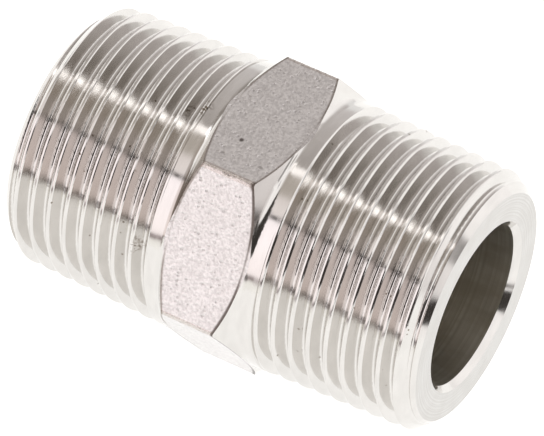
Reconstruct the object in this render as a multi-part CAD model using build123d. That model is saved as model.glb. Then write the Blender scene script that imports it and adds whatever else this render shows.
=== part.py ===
from build123d import *
import math
import os

# Hex nipple: one piece of stainless steel with a tapered R 3/4 pipe thread at each end.
# Millimetres. The bore axis is X, +Z is up, and the origin is the middle of the bore axis.
# The hexagon has one flat on top and one underneath.

# Hexagon and collars
LENGTH = 44.1
ACROSS_FLATS = 26.8
HEX_EDGE_LENGTH = 5.4
HEX_EDGE_ROUNDING = 0.5
HEX_CHAMFER_ANGLE = 54.5
HEX_CHAMFER_CROWN = 0.04
COLLAR_DIAMETER = 26.86
COLLAR_FILLET = 0.9
# Each flat stays level this far from the middle, then rises gently out of the collar
FLAT_LEVEL_REACH = 3.6
FLAT_RUN_OUT_LENGTH = 1.5
FLAT_RUN_OUT_RISE = 0.11

# R 3/4 external thread: 55 degree form, rounded crests and roots, taper 1 in 16 on diameter
THREADS_PER_INCH = 14
MAJOR_DIAMETER_AT_GAUGE = 26.441
GAUGE_LENGTH = 9.5
FLANK_ANGLE = 27.5
TAPER_ON_RADIUS = 1 / 32
# The turned blank is this much under the sharp top of the crest rounding
CREST_TRIM = 0.02
# Slope of the cone on which the groove runs out, and the turns of it inside that cone
RUN_OUT_ANGLE = 60.0
HIDDEN_TURNS = 2
# Length of full thread from each end face, and the turn about the bore axis, from straight up,
# of the place where the groove first reaches its full depth
PLUS_END_FULL_THREAD = 15.65
PLUS_END_GROOVE_TURN = 325.8
MINUS_END_FULL_THREAD = 15.6
MINUS_END_GROOVE_TURN = 233.4

# Bore and end faces
BORE_DIAMETER = 16.3
BORE_CHAMFER_WIDTH = 0.45
BORE_CHAMFER_DEPTH = 0.65
END_FACE_DIAMETER = 22.9
END_CHAMFER_ANGLE = 45.0

# Room left around the part by the tools that cut it, and the thread cutter's height over the crest
TOOL_MARGIN = 3.0
CUTTER_OVERLAP = 0.15

# Worked out from the sizes above
HALF_LENGTH = LENGTH / 2
FLAT_RADIUS = ACROSS_FLATS / 2
CORNER_RADIUS = FLAT_RADIUS / math.cos(math.radians(30))
COLLAR_RADIUS = COLLAR_DIAMETER / 2
GAUGE_X = HALF_LENGTH - GAUGE_LENGTH
PITCH = 25.4 / THREADS_PER_INCH
THREAD_DEPTH = 0.640327 * PITCH
THREAD_ROUNDING = 0.137329 * PITCH
TAPER_ANGLE = math.degrees(math.atan(TAPER_ON_RADIUS))


def crest_radius(x):
    """Radius of the thread's crest line at a distance x from the middle."""
    return MAJOR_DIAMETER_AT_GAUGE / 2 - (x - GAUGE_X) * TAPER_ON_RADIUS


def point_on_section(x, radius):
    """A point of a lengthwise section, above the bore axis."""
    return Vector(x, 0, radius)


def turned_blank():
    """Bar turned to the thread tapers, the collars and the hexagon's chamfers, longer than the part."""
    taper_end = HALF_LENGTH + 2 * TOOL_MARGIN
    taper_start = GAUGE_X + (MAJOR_DIAMETER_AT_GAUGE / 2 - CREST_TRIM - COLLAR_RADIUS) / TAPER_ON_RADIUS
    chamfer_angle = math.radians(HEX_CHAMFER_ANGLE)
    chamfer_foot = HEX_EDGE_LENGTH / 2 + (CORNER_RADIUS - COLLAR_RADIUS) / math.tan(chamfer_angle)
    stock_radius = CORNER_RADIUS + 0.2
    stock_reach = chamfer_foot - (stock_radius - COLLAR_RADIUS) / math.tan(chamfer_angle)
    # The chamfer bulges by its crown, square to its slope
    chamfer_middle = (
        (stock_reach + chamfer_foot) / 2 + HEX_CHAMFER_CROWN * math.sin(chamfer_angle),
        (stock_radius + COLLAR_RADIUS) / 2 + HEX_CHAMFER_CROWN * math.cos(chamfer_angle),
    )
    turned_points = [
        (chamfer_foot, COLLAR_RADIUS),
        (taper_start, COLLAR_RADIUS),
        (taper_end, crest_radius(taper_end) - CREST_TRIM),
        (taper_end, 0),
    ]
    edges = [
        Line(point_on_section(-end_x, radius), point_on_section(end_x, radius)).edge()
        for end_x, radius in ((stock_reach, stock_radius), (taper_end, 0))
    ]
    for side in (1, -1):
        chamfer = ThreePointArc(
            point_on_section(side * stock_reach, stock_radius),
            point_on_section(side * chamfer_middle[0], chamfer_middle[1]),
            point_on_section(side * chamfer_foot, COLLAR_RADIUS),
        )
        turned_line = Polyline(*[point_on_section(side * x, radius) for x, radius in turned_points])
        edges += [chamfer.edge()] + turned_line.edges()
    section = Face(Wire(edges))
    chamfer_feet = [v for v in section.vertices() if math.isclose(abs(v.X), chamfer_foot, abs_tol=1e-6)]
    section = section.fillet_2d(COLLAR_FILLET, chamfer_feet)
    return Solid.revolve(section, 360, Axis.X)


def groove_section(x, root_radius):
    """Lengthwise section of one thread groove, with half a rounded crest on each side."""
    cosine = math.cos(math.radians(FLANK_ANGLE))
    sine = math.sin(math.radians(FLANK_ANGLE))
    crest_height = THREAD_DEPTH - THREAD_ROUNDING
    half_gap = THREAD_ROUNDING / 8
    root_flank = (THREAD_ROUNDING * cosine, THREAD_ROUNDING * (1 - sine))
    crest_flank = (PITCH / 2 - THREAD_ROUNDING * cosine, crest_height + THREAD_ROUNDING * sine)
    crest_end_angle = math.acos(-half_gap / THREAD_ROUNDING)
    crest_flank_angle = math.pi - math.radians(FLANK_ANGLE)
    crest_middle_angle = (crest_end_angle + crest_flank_angle) / 2

    def on_crest(angle):
        return (
            PITCH / 2 + THREAD_ROUNDING * math.cos(angle),
            crest_height + THREAD_ROUNDING * math.sin(angle),
        )

    crest_middle = on_crest(crest_middle_angle)
    crest_end = on_crest(crest_end_angle)
    lid = (crest_end[0], THREAD_DEPTH + CUTTER_OVERLAP)

    def placed(point, side=1):
        return point_on_section(x + side * point[0], root_radius + point[1])

    edges = [
        ThreePointArc(placed(root_flank, -1), placed((0, 0)), placed(root_flank)).edge(),
        Line(placed(lid), placed(lid, -1)).edge(),
    ]
    for side in (1, -1):
        edges += [
            Line(placed(root_flank, side), placed(crest_flank, side)).edge(),
            ThreePointArc(
                placed(crest_flank, side), placed(crest_middle, side), placed(crest_end, side)
            ).edge(),
            Line(placed(crest_end, side), placed(lid, side)).edge(),
        ]
    return Face(Wire(edges))


def run_out_cone(full_thread):
    """The steel that the thread groove leaves standing where it runs out towards the collar."""
    full_depth_x = HALF_LENGTH - full_thread
    root_radius = crest_radius(full_depth_x) - THREAD_DEPTH
    slope = math.tan(math.radians(RUN_OUT_ANGLE))
    outline = [
        (0, 0),
        (0, root_radius + full_depth_x * slope),
        (full_depth_x + TOOL_MARGIN, root_radius - TOOL_MARGIN * slope),
        (full_depth_x + TOOL_MARGIN, 0),
    ]
    section = Face(Wire.make_polygon([point_on_section(x, r) for x, r in outline], close=True))
    return Solid.revolve(section, 360, Axis.X)


def groove_cutter(full_thread):
    """The tapered right-hand groove of the +X end, shallower and shallower towards the collar."""
    hidden_start = HALF_LENGTH - full_thread - HIDDEN_TURNS * PITCH
    root_radius = crest_radius(hidden_start) - THREAD_DEPTH
    path = Helix(
        PITCH,
        HALF_LENGTH + TOOL_MARGIN - hidden_start,
        root_radius,
        center=(hidden_start, 0, 0),
        direction=(1, 0, 0),
        cone_angle=-TAPER_ANGLE,
    )
    groove = sweep(groove_section(hidden_start, root_radius), path=path, is_frenet=True)
    return (groove - run_out_cone(full_thread)).solid()


def cut_threads(body):
    """Cut the thread groove into both ends of the blank."""
    for full_thread, turn, half_turn in (
        (PLUS_END_FULL_THREAD, PLUS_END_GROOVE_TURN, 0),
        (MINUS_END_FULL_THREAD, MINUS_END_GROOVE_TURN, 180),
    ):
        cutter = groove_cutter(full_thread).rotate(Axis.X, turn).rotate(Axis.Z, half_turn)
        body = (body - cutter).solid()
    return body


def cut_flats(body):
    """Cut the six flats of the hexagon and round the edges between them."""
    top = CORNER_RADIUS + TOOL_MARGIN
    reach = FLAT_LEVEL_REACH + FLAT_RUN_OUT_LENGTH
    rise = FLAT_RADIUS + FLAT_RUN_OUT_RISE
    outline = [
        (-reach, top),
        (-reach, rise),
        (-FLAT_LEVEL_REACH, FLAT_RADIUS),
        (FLAT_LEVEL_REACH, FLAT_RADIUS),
        (reach, rise),
        (reach, top),
    ]
    section = Face(Wire.make_polygon([point_on_section(x, r) for x, r in outline], close=True))
    cutter = extrude(section, amount=CORNER_RADIUS, dir=(0, 1, 0), both=True)
    for corner in range(6):
        body = (body - cutter.rotate(Axis.X, 60 * corner)).solid()
    hex_edges = [
        edge
        for edge in body.edges().filter_by(Axis.X)
        if math.hypot(edge.center().Y, edge.center().Z) > (FLAT_RADIUS + CORNER_RADIUS) / 2
    ]
    return body.fillet(HEX_EDGE_ROUNDING, hex_edges)


def cut_to_length(body):
    """Face both ends, chamfer the start of each thread, and bore right through."""
    face_radius = END_FACE_DIAMETER / 2
    outer_radius = CORNER_RADIUS + TOOL_MARGIN
    chamfer_length = (outer_radius - face_radius) / math.tan(math.radians(END_CHAMFER_ANGLE))
    bore_radius = BORE_DIAMETER / 2
    mouth_radius = bore_radius + BORE_CHAMFER_WIDTH
    bore_end = HALF_LENGTH - BORE_CHAMFER_DEPTH
    half_outline = [
        (bore_end, bore_radius),
        (HALF_LENGTH, mouth_radius),
        (HALF_LENGTH, face_radius),
        (HALF_LENGTH - chamfer_length, outer_radius),
    ]
    outline = half_outline + [(-x, radius) for x, radius in reversed(half_outline)]
    section = Face(Wire.make_polygon([point_on_section(x, r) for x, r in outline], close=True))
    envelope = Solid.revolve(section, 360, Axis.X)
    return (body & envelope).solid()


def make_nipple_body():
    """The whole nipple, as the one solid that it is."""
    body = turned_blank()
    body = cut_threads(body)
    body = cut_flats(body)
    return cut_to_length(body)


os.makedirs("parts", exist_ok=True)
nipple_body = make_nipple_body()
nipple_body.label = "nipple_body"
export_step(nipple_body, "parts/nipple_body.step")
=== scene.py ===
import math
from collections import namedtuple

import bpy
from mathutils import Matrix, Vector


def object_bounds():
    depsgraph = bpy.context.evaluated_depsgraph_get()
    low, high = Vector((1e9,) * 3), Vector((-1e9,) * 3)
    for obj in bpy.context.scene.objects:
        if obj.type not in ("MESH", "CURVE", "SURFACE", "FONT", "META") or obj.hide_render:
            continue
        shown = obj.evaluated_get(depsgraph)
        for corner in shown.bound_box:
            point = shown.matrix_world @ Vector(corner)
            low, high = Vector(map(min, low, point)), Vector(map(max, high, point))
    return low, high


# Looks for the hex nipple: stainless steel, turned on the threads, collars and ends, blasted on the
# hexagon's flats, and bored inside. Metres. The bore axis is X, and +Z is up.

MM = 0.001

# Camera: the direction it looks from, how far off it is, and where the object's middle sits in the view
CAMERA_AZIMUTH = 30.5
CAMERA_ELEVATION = 48.35
CAMERA_DISTANCE = 594.4 * MM
CAMERA_LENS = 420.0
CAMERA_SENSOR = 36.0
AIM_RIGHT = 0.07 * MM
AIM_DOWN = 0.10 * MM

# Sizes of the part that the steel finishes follow. A flat's middle is half a spacing from the +Y axis
FLAT_SPACING = 60
HEX_REACH = 4.5 * MM
FLAT_TILT = 0.09
FLAT_ANGLE_ERROR = 0.3
CORNER_BEGINS = 15.24 * MM
CORNER_ROUNDED = 15.34 * MM
COLLAR_RADIUS = 13.43 * MM
CHAMFER_FOOT = 4.16 * MM
CHAMFER_SLOPE = math.tan(math.radians(54.5))
BORE_RADIUS = 8.15 * MM
BORE_MARGIN = 0.02 * MM
END_FACE_NORMAL = 0.999

# Shared by the steels: the part of a noise's range that is used, how much the radius counts against x in
# the tool lines, how fine those get, and the full-strength middle of a spot or mark as a share of its reach
NOISE_SPAN = (0.3, 0.7)
NARROW_SPAN = (0.35, 0.65)
LINES_BY_RADIUS = 1.37
LINE_DETAIL = 3.0
SPOT_MIDDLE = 0.5
MARK_MIDDLE = 0.3

# Turned steel, on the threads, collars and chamfers
TURNED_DULL = (0.68, 0.662, 0.640)
TURNED_BRIGHT = (0.73, 0.712, 0.690)
TURNED_ROUGHNESS = (0.10, 0.16)
TURNED_HAZE = {"size": 1.4 * MM, "detail": 3.0, "stretch": (2.0, 0.5, 0.5)}
TURNED_LINE_SPACING = 0.16 * MM
TURNED_LINE_DEPTH = 0.0006 * MM
WAVES = {"size": 2.4 * MM, "detail": 1.0}
WAVE_DEPTH = 0.006 * MM
SPECKS = {"spacing": 1.1 * MM, "share": 0.05, "radius": 0.16 * MM, "stretch": (0.8, 1.2, 1.2)}
TORN_COLOUR = (0.22, 0.18, 0.14)
TORN_GRAIN = {"size": 0.45 * MM, "detail": 3.0, "stretch": (1.0, 1.6, 1.6)}
TORN_SPAN = (0.50, 0.60)
# Where the thread is torn: each place on the part and how far it reaches, in millimetres
TORN_THREADS = [
    ((-6.3, -1.7, 13.0), 1.3),
    ((-8.2, -9.0, 9.5), 0.5),
    ((-6.8, -12.5, 3.9), 1.2),
    ((7.3, -11.6, 6.1), 0.6),
]

# Faced steel, on the two ends
FACED_DULL = (0.57, 0.555, 0.535)
FACED_BRIGHT = (0.64, 0.63, 0.615)
FACED_HAZE = {"size": 2.4 * MM, "detail": 4.0}
FACED_HAZE_COLOUR = (0.52, 0.50, 0.475)
FACED_HAZE_STRENGTH = 0.35
FACED_ROUGHNESS = 0.24
RING_SPACING = 0.22 * MM
RING_DEPTH = 0.0022 * MM

# Blasted steel, on the hexagon
SKIN_DULL = (0.67, 0.652, 0.648)
SKIN_BRIGHT = (0.88, 0.860, 0.855)
SKIN = {"size": 0.26 * MM, "detail": 2.0}
SKIN_HEIGHT = 0.07 * MM
PIT_DEPTH = 0.4
BLASTED_ROUGHNESS = 0.32
MOTTLE = {"size": 1.6 * MM, "detail": 3.0}
MOTTLE_COLOUR = (0.60, 0.57, 0.56)
MOTTLE_STRENGTH = 0.15
SMALL_PITS = {"spacing": 0.42 * MM, "share": 0.32, "radius": 0.17 * MM}
SMALL_PIT_COLOUR = (0.38, 0.35, 0.34)
SMALL_PIT_STRENGTH = 0.30
LARGE_PITS = {"spacing": 2.0 * MM, "share": 0.12, "radius": 0.36 * MM, "stretch": (1, 1.5, 1.5)}
LARGE_PIT_COLOUR = (0.26, 0.24, 0.23)
LARGE_PIT_STRENGTH = 0.55
RUBBED_COLOUR = (0.50, 0.43, 0.38)
RUBBED_STRENGTH = 0.5
RUBBED_SMOOTHER = 0.14
# The dark pit on the top flat and the torn corner between two flats, given as the torn places are
DARK_MARKS = [
    ((-1.1, -3.5, 13.4), 0.36),
    ((2.8, -7.75, 13.25), 0.65),
]
DARK_MARK_COLOUR = (0.09, 0.07, 0.06)
DARK_MARK_STRENGTH = 0.85
# The darker rim where a flat meets the chamfer: it fades away from that edge and at the chamfer's foot.
# Here and in the studio, a pair gives where a share is 0 and where it is 1, or its lowest and highest value
RIM_COLOUR = (0.22, 0.18, 0.15)
RIM_STRENGTH = 0.75
RIM_WIDTH = (0.34 * MM, 0.08 * MM)
RIM_FADES = (CHAMFER_FOOT, 3.85 * MM)
# Painted shade: a wider dark line on the rim at the +X end, on all the flats but the top one
PAINTED_SHADE_COLOUR = (0.12, 0.10, 0.09)
PAINTED_SHADE_STRENGTH = 0.85
PAINTED_SHADE_WIDTH = (0.46 * MM, 0.22 * MM)
PAINTED_SHADE_BEGINS = (0.0, 1.0 * MM)
PAINTED_SHADE_BELOW = (13.38 * MM, 13.0 * MM)

# Bored steel, inside
BORED_DULL = (0.61, 0.58, 0.52)
BORED_BRIGHT = (0.76, 0.73, 0.67)
BORED_HAZE = {"size": 1.4 * MM, "detail": 4.0, "stretch": (0.5, 1, 1)}
BORED_HAZE_COLOUR = (0.55, 0.51, 0.44)
BORED_HAZE_STRENGTH = 0.6
BORED_ROUGHNESS = 0.33
BORED_LINE_SPACING = 0.30 * MM
BORED_LINE_DEPTH = 0.006 * MM

# Studio: soft panels in strips that run along the object. Each has its angle round the bore axis, in
# degrees, from 0 at the front horizon over 90 straight up to 180 at the back horizon, then its colour
# in the far left of the studio and its colour in the middle
STUDIO_STRIPS = [
    (-90, (1.30, 1.22, 1.08), (1.22, 1.20, 1.15)),
    (-4.4, (1.30, 1.22, 1.08), (1.22, 1.20, 1.15)),
    (-3.0, (0.18, 0.15, 0.13), (1.16, 1.12, 1.08)),
    (-1.8, (0.18, 0.15, 0.13), (0.32, 0.26, 0.26)),
    (1.2, (0.18, 0.15, 0.13), (0.32, 0.26, 0.26)),
    (2.6, (0.18, 0.15, 0.13), (1.30, 1.20, 1.20)),
    (4.2, (1.05, 0.92, 0.88), (1.38, 1.27, 1.27)),
    (50.0, (1.05, 0.93, 0.92), (1.44, 1.34, 1.37)),
    (55.0, (0.55, 0.49, 0.46), (1.08, 1.00, 0.98)),
    (68.0, (0.51, 0.455, 0.42), (0.96, 0.885, 0.86)),
    (74.0, (0.48, 0.42, 0.37), (0.56, 0.51, 0.46)),
    (90.5, (0.46, 0.40, 0.35), (0.53, 0.48, 0.43)),
    (91.5, (3.00, 2.98, 3.00), (1.60, 1.53, 1.50)),
    (97.0, (3.00, 2.98, 3.00), (1.60, 1.53, 1.50)),
    (98.5, (0.30, 0.265, 0.24), (0.47, 0.435, 0.41)),
    (130.0, (0.34, 0.31, 0.285), (0.60, 0.56, 0.54)),
    (176.0, (0.41, 0.38, 0.355), (0.73, 0.69, 0.68)),
    (183.0, (1.02, 1.01, 0.99), (1.00, 0.99, 0.98)),
]
STRIPS_START = -90.0
FULL_TURN = 360.0
STUDIO_RIGHT = (1.25, 1.22, 1.21)
# Where, across the studio from -1 at the left to 1 at the right, one part gives way to the next
LEFT_TO_MIDDLE = (-0.66, -0.42)
MIDDLE_TO_RIGHT = (-0.10, 0.45)
# The strips draw together towards the left of the object, about this middle angle
STRIP_MIDDLE = 52.6
STRIP_SQUEEZE = 0.42
STRIP_SQUEEZE_FROM = -0.337
# The dark gap between the panels: thin at the left, widest in the middle, then narrower and lower.
# Its half widths, its softness and how far it sinks are in degrees
GAP_COLOUR = (0.05, 0.044, 0.04)
GAP_THIN = 1.6
GAP_OPENS = (-0.14, 0.10)
GAP_NARROWS = (-0.12, 0.93)
GAP_WIDE = 31.0
GAP_NARROW = 14.0
GAP_SINKS = 31.0
GAP_SOFTNESS = 1.0
# The table's far front edge, a thin dark line in the right half of the studio
EDGE_COLOUR = (0.10, 0.085, 0.08)
EDGE_ANGLE = 1.0
EDGE_HALF_WIDTH = (3.4, 2.0)
EDGE_BEGINS = (-0.25, 0.0)
EDGE_ENDS = (0.86, 0.78)
# Duller light from straight along the part, at the right end
STUDIO_RIGHT_END = (0.92, 0.87, 0.86)
RIGHT_TO_END = (0.88, 0.99)
# Round patches on the right panel: direction, cosines of the outer and inner edge, colour
PATCHES = [
    ((0.990, -0.100, -0.085), (0.985, 0.993), (0.05, 0.044, 0.04)),
    ((0.930, -0.370, 0.080), (0.993, 0.996), (0.05, 0.044, 0.04)),
    ((0.860, 0.215, 0.462), (0.975, 0.992), (0.42, 0.40, 0.39)),
    ((0.660, -0.105, 0.744), (0.997, 0.999), (0.22, 0.20, 0.24)),
    ((0.550, 0.216, 0.807), (0.992, 0.997), (0.50, 0.46, 0.44)),
]
# Far along the part at the left: brown below and white above
STUDIO_LEFT_LOW = (0.26, 0.21, 0.18)
STUDIO_LEFT_HIGH = (1.25, 1.22, 1.20)
END_TO_LEFT = (-0.90, -0.80)
LEFT_LOW_TO_HIGH = (70.0, 84.0)
BACKGROUND_LIGHT = 1.0

FLOOR_SIZE = 220 * MM
FLOOR_COLOUR = (0.3, 0.3, 0.3)
FLOOR_GLOW = (1, 1, 0.985)
FLOOR_ROUGHNESS = 0.9

Place = namedtuple("Place", "point x z from_middle radius")


def new_material(name):
    """A node material with only its output and a Principled shader."""
    material = bpy.data.materials.new(name)
    material.use_nodes = True
    return material, material.node_tree.nodes["Principled BSDF"]


def maths(tree, operation, first, second=None, clamp=False):
    """A Math node; first and second are numbers or sockets."""
    node = tree.nodes.new("ShaderNodeMath")
    node.operation = operation
    node.use_clamp = clamp
    for socket, value in zip(node.inputs, (first, second)):
        if value is None:
            continue
        if isinstance(value, (int, float)):
            socket.default_value = value
        else:
            tree.links.new(value, socket)
    return node.outputs[0]


def smooth(tree, value, start, end, low=0.0, high=1.0):
    """Goes smoothly from low to high as value goes from start to end."""
    node = tree.nodes.new("ShaderNodeMapRange")
    node.interpolation_type = "SMOOTHSTEP"
    settings = {"From Min": start, "From Max": end, "To Min": low, "To Max": high}
    for name, number in settings.items():
        node.inputs[name].default_value = number
    tree.links.new(value, node.inputs["Value"])
    return node.outputs["Result"]


def mixed(tree, share, first, second):
    """A colour that goes from first to second; each is a socket or a colour."""
    node = tree.nodes.new("ShaderNodeMix")
    node.data_type = "RGBA"
    tree.links.new(share, node.inputs["Factor"])
    for socket, colour in ((node.inputs[6], first), (node.inputs[7], second)):
        if isinstance(colour, tuple):
            socket.default_value = (*colour, 1)
        else:
            tree.links.new(colour, socket)
    return node.outputs[2]


def tinted(tree, colour, where, strength, tint):
    """The colour, turned towards the tint by this strength where the mask is 1."""
    return mixed(tree, maths(tree, "MULTIPLY", where, strength), colour, tint)


def place_on_part(tree):
    """The point being shaded, in the part's frame: its x and z, its distance from x = 0, and its radius."""
    point = tree.nodes.new("ShaderNodeTexCoord").outputs["Object"]
    split = tree.nodes.new("ShaderNodeSeparateXYZ")
    tree.links.new(point, split.inputs[0])
    x, y, z = split.outputs
    square = maths(tree, "ADD", maths(tree, "MULTIPLY", y, y), maths(tree, "MULTIPLY", z, z))
    return Place(point, x, z, maths(tree, "ABSOLUTE", x), maths(tree, "SQRT", square))


def grain(tree, point, size, detail, stretch=(1, 1, 1)):
    """Soft noise whose lumps are about this size across."""
    mapping = tree.nodes.new("ShaderNodeMapping")
    mapping.inputs["Scale"].default_value = stretch
    tree.links.new(point, mapping.inputs["Vector"])
    node = tree.nodes.new("ShaderNodeTexNoise")
    node.inputs["Scale"].default_value = 1 / size
    node.inputs["Detail"].default_value = detail
    tree.links.new(mapping.outputs[0], node.inputs["Vector"])
    return node.outputs[0]


def spots(tree, point, spacing, share, radius, stretch=(1, 1, 1)):
    """1 in small scattered spots and 0 elsewhere; share is the part of the grid's cells that has one."""
    mapping = tree.nodes.new("ShaderNodeMapping")
    mapping.inputs["Scale"].default_value = stretch
    tree.links.new(point, mapping.inputs["Vector"])
    node = tree.nodes.new("ShaderNodeTexVoronoi")
    node.inputs["Scale"].default_value = 1 / spacing
    tree.links.new(mapping.outputs[0], node.inputs["Vector"])
    cell = tree.nodes.new("ShaderNodeSeparateColor")
    tree.links.new(node.outputs["Color"], cell.inputs[0])
    chosen = maths(tree, "LESS_THAN", cell.outputs["Red"], share)
    edge = radius / spacing
    near = smooth(tree, node.outputs["Distance"], edge, SPOT_MIDDLE * edge)
    return maths(tree, "MULTIPLY", chosen, near)


def marks(tree, point, places):
    """1 at the middle of each of these places, falling to 0 at its reach."""
    strongest = None
    for centre, reach in places:
        node = tree.nodes.new("ShaderNodeVectorMath")
        node.operation = "DISTANCE"
        node.inputs[1].default_value = [number * MM for number in centre]
        tree.links.new(point, node.inputs[0])
        mark = smooth(tree, node.outputs["Value"], reach * MM, MARK_MIDDLE * reach * MM)
        strongest = mark if strongest is None else maths(tree, "MAXIMUM", strongest, mark)
    return strongest


def tool_lines(tree, place, spacing):
    """Lines left by the lathe tool round the bore axis, finely and unevenly spaced."""
    along = maths(tree, "ADD", place.x, maths(tree, "MULTIPLY", place.radius, LINES_BY_RADIUS))
    node = tree.nodes.new("ShaderNodeTexNoise")
    node.noise_dimensions = "1D"
    node.inputs["Scale"].default_value = 1 / spacing
    node.inputs["Detail"].default_value = LINE_DETAIL
    tree.links.new(along, node.inputs["W"])
    return node.outputs[0]


def bumped(tree, height, distance, normal=None):
    """A surface normal bumped by this height, whose whole range is this distance."""
    node = tree.nodes.new("ShaderNodeBump")
    node.inputs["Distance"].default_value = distance
    tree.links.new(height, node.inputs["Height"])
    if normal is not None:
        tree.links.new(normal, node.inputs["Normal"])
    return node.outputs[0]


def turned_steel():
    """Bright turned steel: fine tool lines, a little waviness, hazy patches, specks and torn places."""
    material, shader = new_material("turned_steel")
    tree = material.node_tree
    place = place_on_part(tree)
    shader.inputs["Metallic"].default_value = 1.0
    haze = smooth(tree, grain(tree, place.point, **TURNED_HAZE), *NOISE_SPAN)
    specks = spots(tree, place.point, **SPECKS)
    torn = smooth(tree, grain(tree, place.point, **TORN_GRAIN), *TORN_SPAN)
    torn = maths(tree, "MULTIPLY", torn, marks(tree, place.point, TORN_THREADS))
    colour = mixed(tree, haze, TURNED_DULL, TURNED_BRIGHT)
    colour = mixed(tree, maths(tree, "MAXIMUM", specks, torn), colour, TORN_COLOUR)
    tree.links.new(colour, shader.inputs["Base Color"])
    tree.links.new(smooth(tree, haze, 0.0, 1.0, *TURNED_ROUGHNESS), shader.inputs["Roughness"])
    normal = bumped(tree, tool_lines(tree, place, TURNED_LINE_SPACING), TURNED_LINE_DEPTH)
    normal = bumped(tree, grain(tree, place.point, **WAVES), WAVE_DEPTH, normal)
    tree.links.new(normal, shader.inputs["Normal"])
    return material


def faced_steel():
    """The two end faces, turned flat: rings from the tool, a shade duller than the rest."""
    material, shader = new_material("faced_steel")
    tree = material.node_tree
    place = place_on_part(tree)
    shader.inputs["Metallic"].default_value = 1.0
    rings = tool_lines(tree, place, RING_SPACING)
    haze = smooth(tree, grain(tree, place.point, **FACED_HAZE), *NARROW_SPAN)
    colour = mixed(tree, smooth(tree, rings, *NOISE_SPAN), FACED_DULL, FACED_BRIGHT)
    colour = tinted(tree, colour, haze, FACED_HAZE_STRENGTH, FACED_HAZE_COLOUR)
    tree.links.new(colour, shader.inputs["Base Color"])
    shader.inputs["Roughness"].default_value = FACED_ROUGHNESS
    tree.links.new(bumped(tree, rings, RING_DEPTH), shader.inputs["Normal"])
    return material


def rim_and_painted_shade(tree, place):
    """Two masks along the edge where a flat meets the chamfer: the whole rim, and the painted shade on it.
    """
    chamfer_radius = maths(tree, "SUBTRACT", CHAMFER_FOOT, place.from_middle)
    chamfer_radius = maths(tree, "MULTIPLY", chamfer_radius, CHAMFER_SLOPE)
    chamfer_radius = maths(tree, "ADD", chamfer_radius, COLLAR_RADIUS)
    to_chamfer = maths(tree, "SUBTRACT", chamfer_radius, place.radius)
    fading = smooth(tree, place.from_middle, *RIM_FADES)
    rim = maths(tree, "MULTIPLY", smooth(tree, to_chamfer, *RIM_WIDTH), fading)
    shaded_part = maths(tree, "MULTIPLY", smooth(tree, place.x, *PAINTED_SHADE_BEGINS), fading)
    shaded_part = maths(tree, "MULTIPLY", shaded_part, smooth(tree, place.z, *PAINTED_SHADE_BELOW))
    painted_shade = maths(tree, "MULTIPLY", smooth(tree, to_chamfer, *PAINTED_SHADE_WIDTH), shaded_part)
    return rim, painted_shade


def blasted_steel():
    """The hexagon's flats: a dull granular skin with pits, rubbed brighter on the corners, and painted
    shade along the +X edges of the lower flats.
    """
    material, shader = new_material("blasted_steel")
    tree = material.node_tree
    place = place_on_part(tree)
    shader.inputs["Metallic"].default_value = 1.0
    mottle = smooth(tree, grain(tree, place.point, **MOTTLE), *NOISE_SPAN)
    skin = grain(tree, place.point, **SKIN)
    small_pits = spots(tree, place.point, **SMALL_PITS)
    large_pits = spots(tree, place.point, **LARGE_PITS)
    rubbed = smooth(tree, place.radius, CORNER_BEGINS, CORNER_ROUNDED)
    rim, painted_shade = rim_and_painted_shade(tree, place)
    dark_marks = marks(tree, place.point, DARK_MARKS)
    colour = mixed(tree, smooth(tree, skin, *NOISE_SPAN), SKIN_DULL, SKIN_BRIGHT)
    colour = tinted(tree, colour, mottle, MOTTLE_STRENGTH, MOTTLE_COLOUR)
    colour = tinted(tree, colour, small_pits, SMALL_PIT_STRENGTH, SMALL_PIT_COLOUR)
    colour = tinted(tree, colour, large_pits, LARGE_PIT_STRENGTH, LARGE_PIT_COLOUR)
    colour = tinted(tree, colour, rubbed, RUBBED_STRENGTH, RUBBED_COLOUR)
    colour = tinted(tree, colour, rim, RIM_STRENGTH, RIM_COLOUR)
    # Painted shade: the +X edges of all the flats but the top one darkened
    colour = tinted(tree, colour, painted_shade, PAINTED_SHADE_STRENGTH, PAINTED_SHADE_COLOUR)
    colour = tinted(tree, colour, dark_marks, DARK_MARK_STRENGTH, DARK_MARK_COLOUR)
    tree.links.new(colour, shader.inputs["Base Color"])
    smoother = maths(tree, "MULTIPLY", rubbed, RUBBED_SMOOTHER)
    roughness = maths(tree, "SUBTRACT", BLASTED_ROUGHNESS, smoother)
    tree.links.new(roughness, shader.inputs["Roughness"])
    height = maths(tree, "SUBTRACT", skin, maths(tree, "MULTIPLY", small_pits, PIT_DEPTH))
    tree.links.new(bumped(tree, height, SKIN_HEIGHT), shader.inputs["Normal"])
    return material


def bored_steel():
    """Inside the bore: darker steel with drilling lines round it."""
    material, shader = new_material("bored_steel")
    tree = material.node_tree
    place = place_on_part(tree)
    shader.inputs["Metallic"].default_value = 1.0
    lines = tool_lines(tree, place, BORED_LINE_SPACING)
    haze = smooth(tree, grain(tree, place.point, **BORED_HAZE), *NARROW_SPAN)
    colour = mixed(tree, smooth(tree, lines, *NOISE_SPAN), BORED_DULL, BORED_BRIGHT)
    colour = tinted(tree, colour, haze, BORED_HAZE_STRENGTH, BORED_HAZE_COLOUR)
    tree.links.new(colour, shader.inputs["Base Color"])
    shader.inputs["Roughness"].default_value = BORED_ROUGHNESS
    tree.links.new(bumped(tree, lines, BORED_LINE_DEPTH), shader.inputs["Normal"])
    return material


def on_hexagon(face):
    """Whether a face of the mesh lies on one of the six flats or on the rounded edges between them."""
    around = math.degrees(math.atan2(face.normal.z, face.normal.y)) % FLAT_SPACING
    level = abs(around - FLAT_SPACING / 2) < FLAT_ANGLE_ERROR
    at_corner = math.hypot(face.center.y, face.center.z) > CORNER_BEGINS
    within = abs(face.center.x) < HEX_REACH
    return within and abs(face.normal.x) < FLAT_TILT and (level or at_corner)


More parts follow.
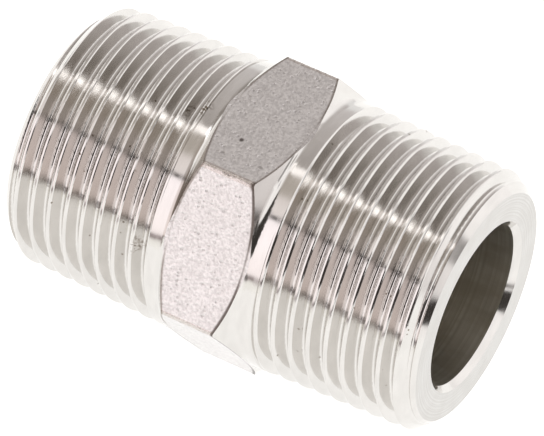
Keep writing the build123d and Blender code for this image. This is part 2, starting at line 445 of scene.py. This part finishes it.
def finish_body(body):
    """Give each face of the body the steel finish of its zone."""
    mesh = body.data
    mesh.materials.clear()
    for material in (turned_steel(), faced_steel(), blasted_steel(), bored_steel()):
        mesh.materials.append(material)
    turned, faced, blasted, bored = range(4)
    for face in mesh.polygons:
        if math.hypot(face.center.y, face.center.z) < BORE_RADIUS + BORE_MARGIN:
            face.material_index = bored
        elif abs(face.normal.x) > END_FACE_NORMAL:
            face.material_index = faced
        elif on_hexagon(face):
            face.material_index = blasted
        else:
            face.material_index = turned


def add_camera():
    """The camera, straight at the object's middle but for the small aim to the right and down."""
    azimuth = math.radians(CAMERA_AZIMUTH)
    elevation = math.radians(CAMERA_ELEVATION)
    back = Vector(
        (
            math.sin(azimuth) * math.cos(elevation),
            -math.cos(azimuth) * math.cos(elevation),
            math.sin(elevation),
        )
    )
    right = Vector((math.cos(azimuth), math.sin(azimuth), 0))
    up = back.cross(right)
    camera = bpy.data.objects.new("camera", bpy.data.cameras.new("camera"))
    camera.data.lens = CAMERA_LENS
    camera.data.sensor_width = CAMERA_SENSOR
    camera.location = right * AIM_RIGHT - up * AIM_DOWN + back * CAMERA_DISTANCE
    camera.rotation_euler = (-back).to_track_quat("-Z", "Y").to_euler()
    bpy.context.scene.collection.objects.link(camera)
    bpy.context.scene.camera = camera


def strip_ramp(tree, share, strips):
    """The strips' colours by the share of the turn from their start; each is an angle and a colour."""
    node = tree.nodes.new("ShaderNodeValToRGB")
    tree.links.new(share, node.inputs[0])
    while len(node.color_ramp.elements) < len(strips):
        node.color_ramp.elements.new(1.0)
    for element, (angle, colour) in zip(node.color_ramp.elements, strips):
        element.position = (angle - STRIPS_START) / FULL_TURN
        element.color = (*colour, 1)
    return node.outputs[0]


def share_along(tree, value, start, end):
    """Goes evenly from 0 to 1 as value goes from start to end."""
    return maths(tree, "DIVIDE", maths(tree, "SUBTRACT", value, start), end - start, clamp=True)


def in_gap(tree, x, from_middle):
    """1 inside the dark gap and 0 outside it."""
    narrowed = share_along(tree, x, *GAP_NARROWS)
    wide = maths(tree, "SUBTRACT", GAP_WIDE, maths(tree, "MULTIPLY", narrowed, GAP_WIDE - GAP_NARROW))
    half_gap = maths(tree, "MULTIPLY", smooth(tree, x, *GAP_OPENS), wide)
    from_gap = maths(tree, "ADD", from_middle, maths(tree, "MULTIPLY", narrowed, GAP_SINKS))
    beyond_gap = maths(tree, "SUBTRACT", maths(tree, "ABSOLUTE", from_gap), half_gap)
    return smooth(tree, beyond_gap, GAP_THIN + GAP_SOFTNESS, GAP_THIN - GAP_SOFTNESS)


def in_patch(tree, direction, centre, edges):
    """1 inside a round patch about this direction and 0 outside it."""
    node = tree.nodes.new("ShaderNodeVectorMath")
    node.operation = "DOT_PRODUCT"
    node.inputs[1].default_value = centre
    tree.links.new(direction, node.inputs[0])
    return smooth(tree, node.outputs["Value"], *edges)


def angle_round_bore(tree, y, z):
    """A direction's angle round the bore axis, in degrees, counted as the strips' angles are."""
    angle = maths(tree, "ARCTAN2", z, maths(tree, "MULTIPLY", y, -1.0))
    angle = maths(tree, "MULTIPLY", angle, 180 / math.pi)
    # Angles under the floor at the back follow on from 180
    under_back = maths(tree, "LESS_THAN", angle, STRIPS_START)
    return maths(tree, "ADD", angle, maths(tree, "MULTIPLY", under_back, FULL_TURN))


def angle_from_middle(tree, x, angle):
    """Degrees from the strips' middle angle, after they draw together towards the left."""
    squeeze = maths(tree, "MINIMUM", maths(tree, "SUBTRACT", x, STRIP_SQUEEZE_FROM), 0.0)
    squeeze = maths(tree, "MULTIPLY", squeeze, STRIP_SQUEEZE)
    from_middle = maths(tree, "SUBTRACT", angle, STRIP_MIDDLE)
    return maths(tree, "ADD", from_middle, maths(tree, "MULTIPLY", from_middle, squeeze))


def long_panels(tree, x, angle, from_middle):
    """The panels from the far left of the studio to the far right."""
    share = maths(tree, "ADD", from_middle, STRIP_MIDDLE - STRIPS_START)
    share = maths(tree, "DIVIDE", share, FULL_TURN, clamp=True)
    left = strip_ramp(tree, share, [(start, colour) for start, colour, _ in STUDIO_STRIPS])
    middle = strip_ramp(tree, share, [(start, colour) for start, _, colour in STUDIO_STRIPS])
    panels = mixed(tree, smooth(tree, x, *LEFT_TO_MIDDLE), left, middle)
    panels = mixed(tree, smooth(tree, x, *MIDDLE_TO_RIGHT), panels, STUDIO_RIGHT)
    panels = mixed(tree, smooth(tree, x, *RIGHT_TO_END), panels, STUDIO_RIGHT_END)
    height = smooth(tree, angle, *LEFT_LOW_TO_HIGH)
    left_end = mixed(tree, height, STUDIO_LEFT_LOW, STUDIO_LEFT_HIGH)
    return mixed(tree, smooth(tree, x, *END_TO_LEFT), left_end, panels)


def on_table_edge(tree, x, angle):
    """1 on the table's far front edge and 0 off it."""
    off_edge = maths(tree, "ABSOLUTE", maths(tree, "SUBTRACT", angle, EDGE_ANGLE))
    between = maths(tree, "MULTIPLY", smooth(tree, x, *EDGE_BEGINS), smooth(tree, x, *EDGE_ENDS))
    return maths(tree, "MULTIPLY", between, smooth(tree, off_edge, *EDGE_HALF_WIDTH))


def add_studio():
    """The world: soft light strips seen in the steel, and a plain white background for the camera."""
    world = bpy.data.worlds.new("studio")
    bpy.context.scene.world = world
    world.use_nodes = True
    tree = world.node_tree
    tree.nodes.clear()
    split = tree.nodes.new("ShaderNodeSeparateXYZ")
    direction = tree.nodes.new("ShaderNodeTexCoord").outputs["Generated"]
    tree.links.new(direction, split.inputs[0])
    x, y, z = split.outputs
    angle = angle_round_bore(tree, y, z)
    from_middle = angle_from_middle(tree, x, angle)
    panels = long_panels(tree, x, angle, from_middle)
    panels = mixed(tree, on_table_edge(tree, x, angle), panels, EDGE_COLOUR)
    for centre, edges, colour in PATCHES:
        panels = mixed(tree, in_patch(tree, direction, centre, edges), panels, colour)
    panels = mixed(tree, in_gap(tree, x, from_middle), panels, GAP_COLOUR)
    lit = tree.nodes.new("ShaderNodeBackground")
    tree.links.new(panels, lit.inputs["Color"])
    plain = tree.nodes.new("ShaderNodeBackground")
    plain.inputs["Color"].default_value = (1, 1, 1, 1)
    plain.inputs["Strength"].default_value = BACKGROUND_LIGHT
    by_ray = tree.nodes.new("ShaderNodeMixShader")
    tree.links.new(tree.nodes.new("ShaderNodeLightPath").outputs["Is Camera Ray"], by_ray.inputs[0])
    tree.links.new(lit.outputs[0], by_ray.inputs[1])
    tree.links.new(plain.outputs[0], by_ray.inputs[2])
    output = tree.nodes.new("ShaderNodeOutputWorld")
    tree.links.new(by_ray.outputs[0], output.inputs["Surface"])


def add_floor(level):
    """A light table: a pale glowing floor that leaves hardly any shadow."""
    half = FLOOR_SIZE / 2
    mesh = bpy.data.meshes.new("floor")
    corners = [(-half, -half, level), (half, -half, level), (half, half, level), (-half, half, level)]
    mesh.from_pydata(corners, [], [(0, 1, 2, 3)])
    floor = bpy.data.objects.new("floor", mesh)
    bpy.context.scene.collection.objects.link(floor)
    material, shader = new_material("light_table")
    shader.inputs["Base Color"].default_value = (*FLOOR_COLOUR, 1)
    shader.inputs["Roughness"].default_value = FLOOR_ROUGHNESS
    shader.inputs["Emission Color"].default_value = (*FLOOR_GLOW, 1)
    shader.inputs["Emission Strength"].default_value = 1.0
    mesh.materials.append(material)


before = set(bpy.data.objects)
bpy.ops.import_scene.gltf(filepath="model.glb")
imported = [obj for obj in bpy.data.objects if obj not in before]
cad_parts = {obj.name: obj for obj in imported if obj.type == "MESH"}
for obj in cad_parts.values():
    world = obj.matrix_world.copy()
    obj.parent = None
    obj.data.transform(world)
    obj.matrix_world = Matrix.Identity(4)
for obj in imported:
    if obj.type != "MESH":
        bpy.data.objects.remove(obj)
cad_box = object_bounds()
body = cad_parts["nipple_body"]
bpy.context.scene.view_settings.view_transform = "Standard"
finish_body(body)
add_floor(cad_box[0].z)
add_studio()
add_camera()
